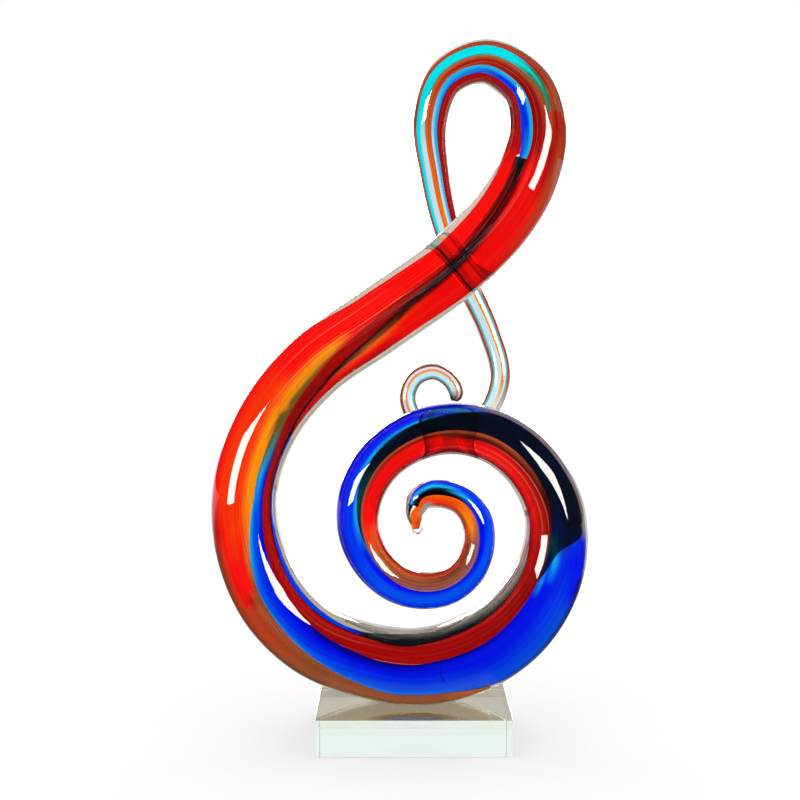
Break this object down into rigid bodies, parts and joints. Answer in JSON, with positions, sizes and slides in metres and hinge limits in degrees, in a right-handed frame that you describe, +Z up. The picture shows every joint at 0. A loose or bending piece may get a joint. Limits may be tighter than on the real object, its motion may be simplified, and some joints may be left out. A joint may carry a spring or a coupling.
{
  "type": "glass sculpture",
  "caption": "Treble clef bent from a tapering cased glass rod in red and blue, standing by a ground foot on a clear rectangular glass block.",
  "frame": {"origin": "middle of the block's flat underside, on the surface that the ornament stands on", "axes": "+X to the viewer's right along the block's long side, +Y away from the viewer, +Z up"},
  "size_m": [0.1573, 0.06, 0.2899],
  "materials": {
    "block_glass": "polished clear glass with a faint green cast",
    "clear_glass": "fire-polished clear glass",
    "red_glass": "transparent red glass, orange where thin",
    "blue_glass": "transparent blue glass, turquoise where thin",
    "cured_glue": "clear cured adhesive"
  },
  "bodies": {
    "root": {"clear_block": "block_glass", "glue_film": "cured_glue", "clear_casing": "clear_glass", "clear_core": "clear_glass", "red_inner_band": "red_glass", "red_outer_band": "red_glass", "red_tail_band": "red_glass", "blue_spiral_band": "blue_glass", "blue_stem_band": "blue_glass", "blue_tail_band": "blue_glass"}
  },
  "joints": []
}
